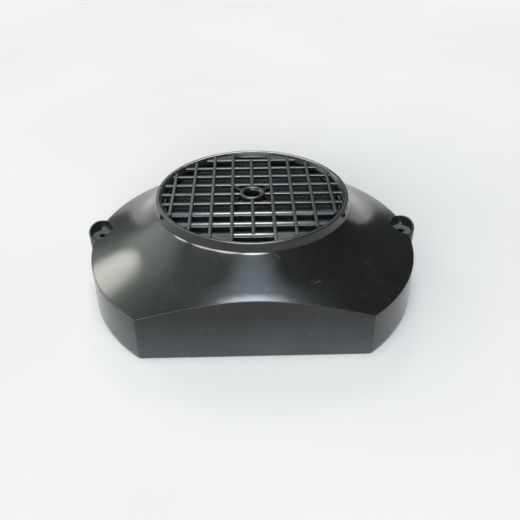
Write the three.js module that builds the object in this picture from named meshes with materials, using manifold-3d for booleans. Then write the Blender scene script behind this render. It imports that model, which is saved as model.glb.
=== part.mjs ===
// Air filter housing for a small engine: a round black cover with a grille, on a base plate that
// carries a pleated filter element. Millimetres, +Z up. The origin is at the middle of the
// footprint, on the surface that the housing stands on.
import * as THREE from "three";
import { mergeVertices } from "three/addons/utils/BufferGeometryUtils.js";
import Module from "manifold-3d";

const wasm = await Module();
wasm.setup();

// ---------- driving dimensions ----------

const GAP = 0.3; // between neighbouring pieces
const PAST = 1; // how far a cutting solid runs past what it cuts

// Cover: skirt, front flat, flared cone and collar.
const WALL = 2.5;
const SKIRT_RADIUS = 100;
const SKIRT_FOOT_RADIUS = 100.5;
const SKIRT_HEIGHT = 27;
const FLAT_DISTANCE = 76.7; // from the axis to the front flat, at the skirt's top
const FLAT_FOOT_DISTANCE = 77.4;
const COLLAR_RADIUS = 57.5;
const COLLAR_TOP = 61.4;
const COLLAR_EDGE = 0.8; // rounding of the collar's top edge
const COLLAR_WALL_START = 57.4; // the collar's straight wall starts here, above its fillet
const COLLAR_FILLET_STEP = 0.4; // how far the fillet stands out just below the wall
const SKIRT_EDGE = 0.3; // rounding where the skirt meets the flare
const FLARE_START = new THREE.Vector2(99.4, 27.4);
const FLARE_LOWER = new THREE.Vector2(79.4, 36.3);
const FLARE_UPPER = new THREE.Vector2(70.5, 39.1);
const FLARE_END = new THREE.Vector2(59.4, 54.4);
const FLARE_STEPS = 6;
const SHELF_TOP = 56.2; // the grille's ring rests on this shelf
const SHELF_RADIUS = 52;
const SHELF_BOTTOM = 53.4;
const SHELF_ROOT_RADIUS = 56.5; // where the shelf's lower side meets the wall

// Grille.
const GRILLE_TOP = 61.1;
const GRILLE_RING_INNER = 53;
const RING_BEVEL_BOTTOM = 58.6; // the ring's inner edge slopes outwards from this height
const RING_BEVEL_SLOPE = 0.72;
const RIB_WIDTH = 2;
const RIB_PITCH_X = 11.85; // between the ribs that run from front to back
const RIB_PITCH_Y = 11.36; // between the ribs that run from side to side
const RIBS_EACH_SIDE = 4;
const LONG_RIB_TOP = 60.9;
const LONG_RIB_DEPTH = 3;
const CROSS_RIB_TOP = 60.3;
const CROSS_RIB_DEPTH = 2.2;
const DEEP_RIBS = 3; // the cross ribs nearest the front flat, which are deeper
const DEEP_RIB_DEPTH = 3.4;
const DEEP_RIB_FOOT = 0.9; // a deep rib stands this much further forward at its foot
const DEEP_RIB_FOOT_TOP = 58.7;
const BOSS_RADIUS = 7.5;
const BOSS_NECK_RADIUS = 6.6;
const BOSS_BOTTOM = 47.5;
const STUD_HOLE_RADIUS = 4.65;
const COUNTERSINK_RADIUS = 6;
const GUSSET_TOP = 58.6;
const GUSSET_BOTTOM = 56.9;
const GUSSET_WIDTH = 1.6;

// Lugs at the sides, each with a pocket for a screw head. The pocket's rim slopes down to the front.
const LUG_X = 97.2;
const LUG_Y = 11.5;
const LUG_RADIUS = 8.2;
const LUG_TOP = 31;
const POCKET_RADIUS = 7.2;
const POCKET_FLOOR = 24;
const POCKET_WALL_RADIUS = 9.4; // the wall round the pocket, inside the cover
const RIM_HEIGHT = 28.6; // of the sloping rim, over the screw hole
const RIM_SLOPE = 0.35;
const RIM_CUT_RADIUS = 8.6;
const LUG_HOLE_RADIUS = 2.1;
const SLEEVE_RADIUS = 4;
const SLEEVE_BORE_RADIUS = 2.4;
const SLEEVE_TOP = 21.6;

// Base plate, its seal and the shoulder inside the cover that presses on the seal.
const PLATE_THICKNESS = 3;
const PLATE_RADIUS = 97.2;
const SEAL_WIDTH = 3;
const SEAL_HEIGHT = 2;
const SHOULDER_WIDTH = 4.4;
const SHOULDER_BOTTOM = PLATE_THICKNESS + SEAL_HEIGHT + 2 * GAP;
const SHOULDER_TOP = SHOULDER_BOTTOM + 2;
const OUTLET_RADIUS = 22;
const NECK_RADIUS = 24.5;
const NECK_TOP = 12;
const CENTRING_RADIUS = 36.7; // of the rib that centres the filter element
const CENTRING_WIDTH = 2;
const CENTRING_TOP = 7;
const OUTLET_GROOVE_INNER = 24;
const OUTLET_GROOVE_OUTER = 27.2;
const OUTLET_GROOVE_DEPTH = 1.7;
const FLANGE_STUD_RADIUS = 2.3; // clearance for an M4 stud
const FLANGE_STUD_CIRCLE = 30.6;
const FLANGE_STUDS = 4;

// Screws and the posts that take them.
const POST_RADIUS = 4.5;
const POST_CIRCLE = 86;
const POST_ANGLES = [-15, 50, 130, 195]; // degrees from +X
const FRONT_POST_X = 40;
const FRONT_POST_Y = -66;
const POST_BORE_RADIUS = 2.1;
const POST_BORE_TOP = 18;
const BASE_SCREW = { shank: 1.8, head: 3.8, headHeight: 2, length: 15, sink: 0.2 };
const RETAINER_SCREW = { shank: 1.05, head: 2.9, headHeight: 1.8, length: 9.3, sink: 0 };

// Foam and its retainer.
const RETAINER_BOTTOM = 42.3;
const RETAINER_TOP = 44.5;
const RETAINER_RING_INNER = 50;
const RETAINER_RING_OUTER = 55.5;
const RETAINER_MID_RING = 28;
const RETAINER_HUB_RADIUS = 9.5;
const RETAINER_HUB_BORE = 5.2;
const RETAINER_HUB_BOTTOM = 41;
const RETAINER_EAR_CIRCLE = 59;
const RETAINER_EAR_RADIUS = 3.8;
const RETAINER_SPOKES = 8;
const RETAINER_SCREWS = 4;
const BOSS_TAKING_SCREW_RADIUS = 3.5;
const SCREW_BORE_RADIUS = 1.35;
const SCREW_BORE_TOP = 52;
const FOAM_RADIUS = 51.4;
const FOAM_BORE = 8;
const FOAM_TOP = 56.1;

// Filter element.
const ELEMENT_RADIUS = 65;
const ELEMENT_BORE = 38.5;
const ELEMENT_BOTTOM = PLATE_THICKNESS + GAP;
const BOTTOM_SEAL_TOP = 8.4;
const CAP_BOTTOM = 34.2;
const CAP_TOP = 38.8;
const CAP_BORE = 8.3;
const PLEATS = 44;
const PLEAT_OUTER = 63.4;
const PLEAT_INNER = 43;
const PAPER_THICKNESS = 0.6;
const FOLD_OUTSIDE_HALF = 0.9; // half the width of the flat on the outside of a fold
const FOLD_INSIDE_HALF = 0.3; // and on its inside
const CORE_RADIUS = 41;
const CORE_THICKNESS = 0.9;
const CORE_WINDOWS = 12;
const CORE_WINDOW_WIDTH = 8;
const CORE_BAND = 4; // solid metal above and below the windows
const GROMMET_BORE = 4.3;
const GROMMET_FLANGE_RADIUS = 11;
const GROMMET_TOP = 40.4;

// Facets round a full turn.
const LARGE_ROUND = 60;
const MEDIUM_ROUND = 32;
const SMALL_ROUND = 12;

// The cover reaches further back than its front flat reaches forward.
const MIDDLE_Y = (SKIRT_FOOT_RADIUS - FLAT_FOOT_DISTANCE) / 2;

// ---------- shapes ----------

// A closed three.js geometry as a manifold solid.
function solidOf(geometry) {
  const bare = geometry.index ? geometry.toNonIndexed() : geometry.clone();
  bare.deleteAttribute("normal");
  bare.deleteAttribute("uv");
  const merged = mergeVertices(bare, 1e-4);
  const mesh = new wasm.Mesh({
    numProp: 3,
    vertProperties: new Float32Array(merged.attributes.position.array),
    triVerts: new Uint32Array(merged.index.array),
  });
  return new wasm.Manifold(mesh);
}

// A manifold solid as a three.js geometry.
function geometryOf(solid) {
  const mesh = solid.getMesh();
  const geometry = new THREE.BufferGeometry();
  geometry.setAttribute("position", new THREE.BufferAttribute(mesh.vertProperties, 3));
  geometry.setIndex(new THREE.BufferAttribute(mesh.triVerts, 1));
  geometry.computeVertexNormals();
  return geometry;
}

// A solid of revolution about Z from [radius, height] pairs that start and end on the axis,
// or that go round a closed section.
function turned(profile, facets) {
  const points = profile.map(([radius, height]) => new THREE.Vector2(radius, height));
  const geometry = new THREE.LatheGeometry(points, facets);
  geometry.rotateX(Math.PI / 2);
  return solidOf(geometry);
}

function cylinder(radius, low, high, facets, x = 0, y = 0) {
  const geometry = new THREE.CylinderGeometry(radius, radius, high - low, facets);
  geometry.rotateX(Math.PI / 2);
  geometry.translate(x, y, (low + high) / 2);
  return solidOf(geometry);
}

function cone(lowRadius, highRadius, low, high, facets, x = 0, y = 0) {
  const geometry = new THREE.CylinderGeometry(highRadius, lowRadius, high - low, facets);
  geometry.rotateX(Math.PI / 2);
  geometry.translate(x, y, (low + high) / 2);
  return solidOf(geometry);
}

function ring(inner, outer, low, high, facets) {
  return cylinder(outer, low, high, facets).subtract(
    cylinder(inner, low - PAST, high + PAST, facets),
  );
}

// A box from its middle in plan, turned about its own middle.
function bar(sizeX, sizeY, low, high, x = 0, y = 0, turn = 0) {
  const geometry = new THREE.BoxGeometry(sizeX, sizeY, high - low);
  geometry.rotateZ(turn);
  geometry.translate(x, y, (low + high) / 2);
  return solidOf(geometry);
}

function joined(solids) {
  return solids.reduce((whole, next) => whole.add(next));
}

function without(solid, cuts) {
  return cuts.reduce((left, cut) => left.subtract(cut), solid);
}

function polar(radius, degrees) {
  const angle = THREE.MathUtils.degToRad(degrees);
  return [radius * Math.cos(angle), radius * Math.sin(angle)];
}

// `count` places on a circle, the first of them half a step from +X.
function spread(radius, count) {
  return Array.from({ length: count }, (_, i) => polar(radius, ((i + 0.5) * 360) / count));
}

const lugPlaces = [
  ["left", -LUG_X],
  ["right", LUG_X],
];
const postPlaces = [
  ...POST_ANGLES.map((degrees) => polar(POST_CIRCLE, degrees)),
  [-FRONT_POST_X, FRONT_POST_Y],
  [FRONT_POST_X, FRONT_POST_Y],
];
const retainerScrewPlaces = spread(RETAINER_EAR_CIRCLE, RETAINER_SCREWS);

// ---------- cover ----------

// All space behind the front flat, `inset` further in. The flat leans back with the skirt's draft.
function behindFlat(inset) {
  const size = 4 * SKIRT_RADIUS;
  const geometry = new THREE.BoxGeometry(size, size, size);
  geometry.translate(0, size / 2, 0);
  geometry.rotateX(-Math.atan2(FLAT_FOOT_DISTANCE - FLAT_DISTANCE, SKIRT_HEIGHT));
  geometry.translate(0, inset - FLAT_FOOT_DISTANCE, 0);
  return solidOf(geometry);
}

// The flare from the skirt up to the collar, moved `inset` towards the inside.
function flarePoints(inset) {
  const curve = new THREE.CubicBezierCurve(FLARE_START, FLARE_LOWER, FLARE_UPPER, FLARE_END);
  return Array.from({ length: FLARE_STEPS + 1 }, (_, i) => {
    const point = curve.getPoint(i / FLARE_STEPS);
    const along = curve.getTangent(i / FLARE_STEPS);
    return [point.x - inset * along.y, point.y + inset * along.x];
  });
}

function coverOutside() {
  const profile = [
    [0, 0],
    [SKIRT_FOOT_RADIUS, 0],
    [SKIRT_RADIUS, SKIRT_HEIGHT - SKIRT_EDGE],
    ...flarePoints(0),
    [COLLAR_RADIUS + COLLAR_FILLET_STEP, COLLAR_WALL_START - 2 * COLLAR_FILLET_STEP],
    [COLLAR_RADIUS, COLLAR_WALL_START],
    [COLLAR_RADIUS, COLLAR_TOP - COLLAR_EDGE],
    [COLLAR_RADIUS - COLLAR_EDGE, COLLAR_TOP],
    [0, COLLAR_TOP],
  ];
  return turned(profile, LARGE_ROUND).intersect(behindFlat(0));
}

// The solid that the features inside the cover stay within: its surface runs inside the wall.
function wallMiddle() {
  const inset = WALL / 2;
  const profile = [
    [0, 0],
    [SKIRT_RADIUS - inset, 0],
    [SKIRT_RADIUS - inset, SKIRT_HEIGHT - inset],
    ...flarePoints(inset),
    [0, FLARE_END.y],
  ];
  return turned(profile, LARGE_ROUND).intersect(behindFlat(inset));
}

function coverInside() {
  const seatRadius = COLLAR_RADIUS - WALL + GAP;
  const profile = [
    [0, -PAST],
    [SKIRT_FOOT_RADIUS - WALL, -PAST],
    [SKIRT_RADIUS - WALL, SKIRT_HEIGHT - WALL],
    ...flarePoints(WALL).slice(1, -1),
    [SHELF_ROOT_RADIUS, SHELF_BOTTOM],
    [SHELF_RADIUS, SHELF_BOTTOM],
    [SHELF_RADIUS, SHELF_TOP],
    [seatRadius, SHELF_TOP],
    [seatRadius, COLLAR_TOP + PAST],
    [0, COLLAR_TOP + PAST],
  ];
  return turned(profile, LARGE_ROUND).intersect(behindFlat(WALL));
}

// The outline inside the skirt and round the lugs, `inset` from the base plate's own edge.
function insideOutline(inset, low, high) {
  const lugs = lugPlaces.map(([, x]) =>
    cylinder(LUG_RADIUS + 2 * GAP + inset, low - PAST, high + PAST, MEDIUM_ROUND, x, LUG_Y),
  );
  const round = cylinder(PLATE_RADIUS - inset, low, high, LARGE_ROUND);
  return without(round.intersect(behindFlat(WALL + 2 * GAP + inset)), lugs);
}

// A post that hangs from the cover's inside, with a web that ties it to the wall behind it.
function post([x, y]) {
  const front = y === FRONT_POST_Y;
  const outward = front ? -Math.PI / 2 : Math.atan2(y, x);
  const reach = front ? FLAT_DISTANCE + FRONT_POST_Y : SKIRT_RADIUS - POST_CIRCLE;
  const webX = x + (Math.cos(outward) * reach) / 2;
  const webY = y + (Math.sin(outward) * reach) / 2;
  return cylinder(POST_RADIUS, PLATE_THICKNESS + GAP, COLLAR_TOP, SMALL_ROUND, x, y).add(
    bar(reach, WALL, SHOULDER_BOTTOM, COLLAR_TOP, webX, webY, outward),
  );
}

// Everything above the sloping rim of a lug, out to just past its wall.
function aboveRim(x) {
  const geometry = new THREE.CylinderGeometry(
    RIM_CUT_RADIUS,
    RIM_CUT_RADIUS,
    LUG_TOP,
    MEDIUM_ROUND,
  );
  geometry.rotateX(Math.PI / 2);
  geometry.translate(0, 0, LUG_TOP / 2);
  geometry.rotateX(Math.atan(RIM_SLOPE));
  geometry.translate(x, LUG_Y, RIM_HEIGHT);
  return solidOf(geometry);
}

function lugCuts([, x]) {
  return [
    aboveRim(x),
    cylinder(POCKET_RADIUS, POCKET_FLOOR, COLLAR_TOP, MEDIUM_ROUND, x, LUG_Y),
    cylinder(LUG_HOLE_RADIUS, -PAST, POCKET_FLOOR + PAST, SMALL_ROUND, x, LUG_Y),
    cylinder(SLEEVE_RADIUS + GAP, -PAST, SLEEVE_TOP + GAP, SMALL_ROUND, x, LUG_Y),
  ];
}

function coverShell() {
  const outside = coverOutside();
  const shoulder = wallMiddle()
    .intersect(bar(4 * SKIRT_RADIUS, 4 * SKIRT_RADIUS, SHOULDER_BOTTOM, SHOULDER_TOP))
    .subtract(insideOutline(SHOULDER_WIDTH, SHOULDER_BOTTOM - PAST, SHOULDER_TOP + PAST));
  const screwBosses = retainerScrewPlaces.map(([x, y]) =>
    cylinder(BOSS_TAKING_SCREW_RADIUS, RETAINER_TOP + GAP, SHELF_BOTTOM, SMALL_ROUND, x, y),
  );
  const pocketWalls = lugPlaces.map(([, x]) =>
    cylinder(POCKET_WALL_RADIUS, SHOULDER_BOTTOM, COLLAR_TOP, MEDIUM_ROUND, x, LUG_Y),
  );
  const insideFeatures = joined([
    ...postPlaces.map(post),
    ...screwBosses,
    ...pocketWalls,
  ]).intersect(wallMiddle());
  const lugs = lugPlaces.map(([, x]) => cylinder(LUG_RADIUS, 0, LUG_TOP, MEDIUM_ROUND, x, LUG_Y));
  const bores = [
    ...postPlaces.map(([x, y]) => cylinder(POST_BORE_RADIUS, 0, POST_BORE_TOP, SMALL_ROUND, x, y)),
    ...retainerScrewPlaces.map(([x, y]) =>
      cylinder(SCREW_BORE_RADIUS, RETAINER_TOP, SCREW_BORE_TOP, SMALL_ROUND, x, y),
    ),
  ];
  const walls = outside.subtract(coverInside());
  const whole = joined([walls, shoulder, insideFeatures, ...lugs]);
  return without(whole, [...bores, ...lugPlaces.flatMap(lugCuts)]);
}

// ---------- grille ----------

function ribIndexes() {
  return Array.from({ length: 2 * RIBS_EACH_SIDE + 1 }, (_, i) => i - RIBS_EACH_SIDE);
}

function grille() {
  const bottom = SHELF_TOP + GAP;
  const ringOuter = COLLAR_RADIUS - WALL;
  const reach = ringOuter;
  const disc = cylinder(reach, bottom, COLLAR_TOP, LARGE_ROUND);
  const lastCrossRib = RIBS_EACH_SIDE * RIB_PITCH_Y;
  const longRibs = ribIndexes().map((i) => {
    const length = i === 0 ? 2 * lastCrossRib : 2 * reach;
    return bar(RIB_WIDTH, length, LONG_RIB_TOP - LONG_RIB_DEPTH, LONG_RIB_TOP, i * RIB_PITCH_X, 0);
  });
  const crossRibs = ribIndexes().map((i) => {
    const y = i * RIB_PITCH_Y;
    if (i >= DEEP_RIBS - RIBS_EACH_SIDE)
      return bar(2 * reach, RIB_WIDTH, CROSS_RIB_TOP - CROSS_RIB_DEPTH, CROSS_RIB_TOP, 0, y);
    const low = CROSS_RIB_TOP - DEEP_RIB_DEPTH;
    return bar(2 * reach, RIB_WIDTH, low, CROSS_RIB_TOP, 0, y).add(
      bar(2 * reach, RIB_WIDTH, low, DEEP_RIB_FOOT_TOP, 0, y - DEEP_RIB_FOOT),
    );
  });
  // Beyond the first and last cross ribs only the middle of the grid stays open.
  const lands = [-1, 1].map((side) =>
    disc
      .intersect(
        bar(2 * reach, reach, bottom, CROSS_RIB_TOP, 0, side * (lastCrossRib + reach / 2)),
      )
      .subtract(bar(2 * RIB_PITCH_X, 3 * reach, bottom - PAST, COLLAR_TOP)),
  );
  const gussets = [45, 135].map((degrees) =>
    bar(
      2 * Math.hypot(RIB_PITCH_X, RIB_PITCH_Y),
      GUSSET_WIDTH,
      GUSSET_BOTTOM,
      GUSSET_TOP,
      0,
      0,
      THREE.MathUtils.degToRad(degrees),
    ),
  );
  const boss = cylinder(BOSS_RADIUS, GUSSET_BOTTOM, LONG_RIB_TOP, MEDIUM_ROUND).add(
    cylinder(BOSS_NECK_RADIUS, BOSS_BOTTOM, GUSSET_TOP, MEDIUM_ROUND),
  );
  const sinkDepth = COUNTERSINK_RADIUS - STUD_HOLE_RADIUS;
  const holes = [
    cylinder(STUD_HOLE_RADIUS, BOSS_BOTTOM - PAST, COLLAR_TOP, MEDIUM_ROUND),
    cone(
      STUD_HOLE_RADIUS,
      COUNTERSINK_RADIUS + PAST,
      LONG_RIB_TOP - sinkDepth,
      LONG_RIB_TOP + PAST,
      MEDIUM_ROUND,
    ),
  ];
  const grid = joined([...longRibs, ...crossRibs, ...gussets, ...lands]).intersect(disc);
  const bevelTop = GRILLE_TOP + PAST;
  const bevel = cone(
    GRILLE_RING_INNER,
    GRILLE_RING_INNER + RING_BEVEL_SLOPE * (bevelTop - RING_BEVEL_BOTTOM),
    RING_BEVEL_BOTTOM,
    bevelTop,
    LARGE_ROUND,
  );
  const rim = ring(GRILLE_RING_INNER, ringOuter, bottom, GRILLE_TOP, LARGE_ROUND).subtract(bevel);
  return without(joined([grid, rim, boss]), holes);
}

// ---------- screws ----------

// A cross recess, its wings a quarter as wide as it is across.
function crossRecess(size, low, high) {
  return bar(size, size / 4, low, high).add(bar(size / 4, size, low, high));
}

// A screw that points up, with its head below `seat`.
function screwPointingUp({ shank, head, headHeight, length, sink }, seat, countersunk) {
  const bottom = seat - headHeight + sink;
  const tip = seat + length;
  const neckRadius = countersunk ? shank : head;
  const body = joined([
    cone(head, neckRadius, bottom, seat + sink, SMALL_ROUND),
    cylinder(shank, seat - PAST / 2, tip - shank, SMALL_ROUND),
    cone(shank, shank / 2, tip - shank, tip, SMALL_ROUND),
  ]);
  return body.subtract(crossRecess(head, bottom - PAST, bottom + headHeight / 2));
}

// ---------- base plate and seals ----------

function basePlate() {
  const { shank, head, headHeight } = BASE_SCREW;
  const countersinks = postPlaces.flatMap(([x, y]) => [
    cylinder(shank + GAP, -PAST, PLATE_THICKNESS + PAST, SMALL_ROUND, x, y),
    cone(head + 2 * GAP + PAST, shank + GAP, -PAST, headHeight + 2 * GAP, SMALL_ROUND, x, y),
  ]);
  const studs = spread(FLANGE_STUD_CIRCLE, FLANGE_STUDS).map(([x, y]) =>
    cylinder(FLANGE_STUD_RADIUS, -PAST, PLATE_THICKNESS + PAST, SMALL_ROUND, x, y),
  );
  const whole = joined([
    insideOutline(0, 0, PLATE_THICKNESS),
    cylinder(NECK_RADIUS, 0, NECK_TOP, MEDIUM_ROUND),
    ring(CENTRING_RADIUS - CENTRING_WIDTH, CENTRING_RADIUS, PAST, CENTRING_TOP, MEDIUM_ROUND),
  ]);
  return without(whole, [
    cylinder(OUTLET_RADIUS, -PAST, NECK_TOP + PAST, MEDIUM_ROUND),
    ring(OUTLET_GROOVE_INNER, OUTLET_GROOVE_OUTER, -PAST, OUTLET_GROOVE_DEPTH, MEDIUM_ROUND),
    ...studs,
    ...countersinks,
  ]);
}

function perimeterSeal() {
  const low = PLATE_THICKNESS + GAP;
  const high = low + SEAL_HEIGHT;
  return insideOutline(GAP, low, high).subtract(
    insideOutline(GAP + SEAL_WIDTH, low - PAST, high + PAST),
  );
}

function outletSeal() {
  return ring(
    OUTLET_GROOVE_INNER + GAP,
    OUTLET_GROOVE_OUTER - GAP,
    GAP / 2,
    OUTLET_GROOVE_DEPTH - GAP,
    MEDIUM_ROUND,
  );
}

// ---------- foam, retainer and sleeves ----------

function foam() {
  return ring(FOAM_BORE, FOAM_RADIUS, RETAINER_TOP + GAP, FOAM_TOP, MEDIUM_ROUND);
}

function retainer() {
  const midInner = RETAINER_MID_RING - RIB_WIDTH / 2;
  const rings = [
    ring(RETAINER_RING_INNER, RETAINER_RING_OUTER, RETAINER_BOTTOM, RETAINER_TOP, MEDIUM_ROUND),
    ring(midInner, midInner + RIB_WIDTH, RETAINER_BOTTOM, RETAINER_TOP, MEDIUM_ROUND),
    cylinder(RETAINER_HUB_RADIUS, RETAINER_HUB_BOTTOM, RETAINER_TOP, MEDIUM_ROUND),
  ];
  const spokes = Array.from({ length: RETAINER_SPOKES / 2 }, (_, i) =>
    bar(
      2 * RETAINER_RING_INNER + RIB_WIDTH,
      RIB_WIDTH,
      RETAINER_BOTTOM,
      RETAINER_TOP,
      0,
      0,
      (i * 2 * Math.PI) / RETAINER_SPOKES,
    ),
  );
  const ears = retainerScrewPlaces.map(([x, y]) =>
    cylinder(RETAINER_EAR_RADIUS, RETAINER_BOTTOM, RETAINER_TOP, SMALL_ROUND, x, y),
  );
  const holes = retainerScrewPlaces.map(([x, y]) =>
    cylinder(RETAINER_SCREW.shank + GAP, 0, COLLAR_TOP, SMALL_ROUND, x, y),
  );
  return without(joined([...rings, ...spokes, ...ears]), [
    cylinder(RETAINER_HUB_BORE, 0, COLLAR_TOP, MEDIUM_ROUND),
    ...holes,
  ]);
}

function sleeve() {
  return ring(SLEEVE_BORE_RADIUS, SLEEVE_RADIUS, 0, SLEEVE_TOP, SMALL_ROUND);
}

// ---------- filter element ----------

// One edge of the folded paper: flat crests at `outer` and flat valleys at `inner`, by half widths.
function pleatOutline(outer, crestHalf, inner, valleyHalf) {
  const pitch = (2 * Math.PI) / PLEATS;
  const fold = (radius, angle, half) =>
    [-half, half].map((shift) => {
      const turn = angle + shift / radius;
      return new THREE.Vector2(radius * Math.cos(turn), radius * Math.sin(turn));
    });
  return Array.from({ length: PLEATS }, (_, i) => [
    ...fold(outer, i * pitch, crestHalf),
    ...fold(inner, (i + 0.5) * pitch, valleyHalf),
  ]).flat();
}

// The zigzag of folded paper between its two edges, extruded upwards.
function pleatedPaper() {
  const outerFace = pleatOutline(
    PLEAT_OUTER,
    FOLD_OUTSIDE_HALF,
    PLEAT_INNER + PAPER_THICKNESS,
    FOLD_INSIDE_HALF,
  );
  const innerFace = pleatOutline(
    PLEAT_OUTER - PAPER_THICKNESS,
    FOLD_INSIDE_HALF,
    PLEAT_INNER,
    FOLD_OUTSIDE_HALF,
  );
  const shape = new THREE.Shape(outerFace);
  shape.holes.push(new THREE.Path(innerFace));
  const low = BOTTOM_SEAL_TOP + GAP;
  const depth = CAP_BOTTOM - GAP - low;
  const geometry = new THREE.ExtrudeGeometry(shape, { depth, bevelEnabled: false });
  geometry.translate(0, 0, low);
  return solidOf(geometry);
}

function elementCore() {
  const low = BOTTOM_SEAL_TOP + GAP;
  const high = CAP_BOTTOM - GAP;
  const windows = Array.from({ length: CORE_WINDOWS / 2 }, (_, i) =>
    bar(
      3 * CORE_RADIUS,
      CORE_WINDOW_WIDTH,
      low + CORE_BAND,
      high - CORE_BAND,
      0,
      0,
      ((2 * i + 1) * Math.PI) / CORE_WINDOWS,
    ),
  );
  const tube = ring(CORE_RADIUS - CORE_THICKNESS, CORE_RADIUS, low, high, MEDIUM_ROUND);
  return without(tube, windows);
}

function bottomSeal() {
  return ring(ELEMENT_BORE, ELEMENT_RADIUS, ELEMENT_BOTTOM, BOTTOM_SEAL_TOP, MEDIUM_ROUND);
}

function elementCap() {
  return ring(CAP_BORE, ELEMENT_RADIUS, CAP_BOTTOM, CAP_TOP, MEDIUM_ROUND);
}

function grommet() {
  const stem = CAP_BORE - GAP;
  const flangeLow = CAP_TOP + GAP;
  const profile = [
    [GROMMET_BORE, CAP_BOTTOM],
    [stem, CAP_BOTTOM],
    [stem, flangeLow],
    [GROMMET_FLANGE_RADIUS, flangeLow],
    [GROMMET_FLANGE_RADIUS, GROMMET_TOP],
    [GROMMET_BORE, GROMMET_TOP],
    [GROMMET_BORE, CAP_BOTTOM],
  ];
  return turned(profile, MEDIUM_ROUND);
}

// ---------- materials ----------

const blackPlastic = new THREE.MeshStandardMaterial({ color: 0x23262a, roughness: 0.35 });
const grillePlastic = new THREE.MeshStandardMaterial({ color: 0x2a2d2f, roughness: 0.4 });
const greyPlastic = new THREE.MeshStandardMaterial({ color: 0x3a3d40, roughness: 0.55 });
const foamMaterial = new THREE.MeshStandardMaterial({ color: 0x17181a, roughness: 0.95 });
const rubber = new THREE.MeshStandardMaterial({ color: 0x161616, roughness: 0.8 });
const urethane = new THREE.MeshStandardMaterial({ color: 0xb4552a, roughness: 0.6 });
const paper = new THREE.MeshStandardMaterial({ color: 0xd9c48c, roughness: 0.9 });
const steel = new THREE.MeshStandardMaterial({ color: 0xb8babd, roughness: 0.3, metalness: 1 });

// ---------- assembly ----------

const housing = new THREE.Group();
housing.position.y = -MIDDLE_Y;

function place(name, solid, material, x = 0, y = 0) {
  const mesh = new THREE.Mesh(geometryOf(solid), material);
  mesh.name = name;
  mesh.position.set(x, y, 0);
  housing.add(mesh);
}

place("cover_shell", coverShell(), blackPlastic);
place("intake_grille", grille(), grillePlastic);
place("prefilter_foam", foam(), foamMaterial);
place("foam_retainer", retainer(), greyPlastic);
place("base_plate", basePlate(), greyPlastic);
place("perimeter_seal", perimeterSeal(), rubber);
place("outlet_seal", outletSeal(), rubber);
place("element_bottom_seal", bottomSeal(), urethane);
place("element_media", pleatedPaper(), paper);
place("element_core", elementCore(), steel);
place("element_top_cap", elementCap(), urethane);
place("stud_grommet", grommet(), rubber);

for (const [side, x] of lugPlaces) {
  place(`lug_sleeve_${side}`, sleeve(), steel, x, LUG_Y);
}
retainerScrewPlaces.forEach(([x, y], i) => {
  const screw = screwPointingUp(RETAINER_SCREW, RETAINER_BOTTOM - GAP, false);
  place(`retainer_screw_${i + 1}`, screw, steel, x, y);
});
postPlaces.forEach(([x, y], i) => {
  const screw = screwPointingUp(BASE_SCREW, BASE_SCREW.headHeight, true);
  place(`base_screw_${i + 1}`, screw, steel, x, y);
});

const root = new THREE.Group();
root.add(housing);

export default root;
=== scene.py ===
"""The looks of the air filter housing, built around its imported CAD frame."""

import math

import bpy
import numpy as np
from mathutils import Matrix, Vector, noise


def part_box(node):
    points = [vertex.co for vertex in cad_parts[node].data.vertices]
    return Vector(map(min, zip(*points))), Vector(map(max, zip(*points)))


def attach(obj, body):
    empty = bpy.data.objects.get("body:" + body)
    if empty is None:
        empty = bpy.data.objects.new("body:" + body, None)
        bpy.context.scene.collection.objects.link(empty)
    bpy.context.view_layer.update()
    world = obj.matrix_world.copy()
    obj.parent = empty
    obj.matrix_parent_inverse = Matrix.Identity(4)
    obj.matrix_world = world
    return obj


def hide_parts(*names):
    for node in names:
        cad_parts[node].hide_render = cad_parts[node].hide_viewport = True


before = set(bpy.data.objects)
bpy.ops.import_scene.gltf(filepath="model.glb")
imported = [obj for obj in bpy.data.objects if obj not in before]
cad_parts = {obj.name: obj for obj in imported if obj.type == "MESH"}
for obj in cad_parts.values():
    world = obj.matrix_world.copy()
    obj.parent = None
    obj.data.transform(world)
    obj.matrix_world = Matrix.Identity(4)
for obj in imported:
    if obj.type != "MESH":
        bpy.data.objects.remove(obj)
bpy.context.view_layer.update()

MM = 0.001
TAU = 2 * math.pi

# The housing's axis stands where the element's cap is centred. Shapes are given in millimetres
# from that axis, with Z from the surface that the housing stands on.
cap_low, cap_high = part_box("element_top_cap")
AXIS = Vector(((cap_low.x + cap_high.x) / 2, (cap_low.y + cap_high.y) / 2, 0))

# ---------- camera ----------

camera_data = bpy.data.cameras.new("camera")
camera_data.sensor_width = 36
camera_data.lens = 42.02
camera = bpy.data.objects.new("camera", camera_data)
bpy.context.scene.collection.objects.link(camera)
bpy.context.scene.camera = camera
CAMERA_PLACE = Vector((-0.003246, -0.333798, 0.237844))
AZIMUTH, ELEVATION, ROLL = math.radians(-1.378), math.radians(35.167), math.radians(-0.254)
back = Vector((
    math.sin(AZIMUTH) * math.cos(ELEVATION),
    -math.cos(AZIMUTH) * math.cos(ELEVATION),
    math.sin(ELEVATION),
))
level_right = Vector((math.cos(AZIMUTH), math.sin(AZIMUTH), 0))
level_up = back.cross(level_right)
right = math.cos(ROLL) * level_right + math.sin(ROLL) * level_up
up = back.cross(right)
camera.matrix_world = Matrix.Translation(CAMERA_PLACE) @ Matrix((right, up, back)).transposed().to_4x4()

# ---------- the sizes that the shapes share, in millimetres ----------

WALL, GAP, SEAM = 2.5, 0.3, 0.06
FOOT_RADIUS, TOP_RADIUS = 100.5, 100.0
FOOT_FLAT, TOP_FLAT = 77.4, 76.7
SKIRT_HEIGHT = 27.0
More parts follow.
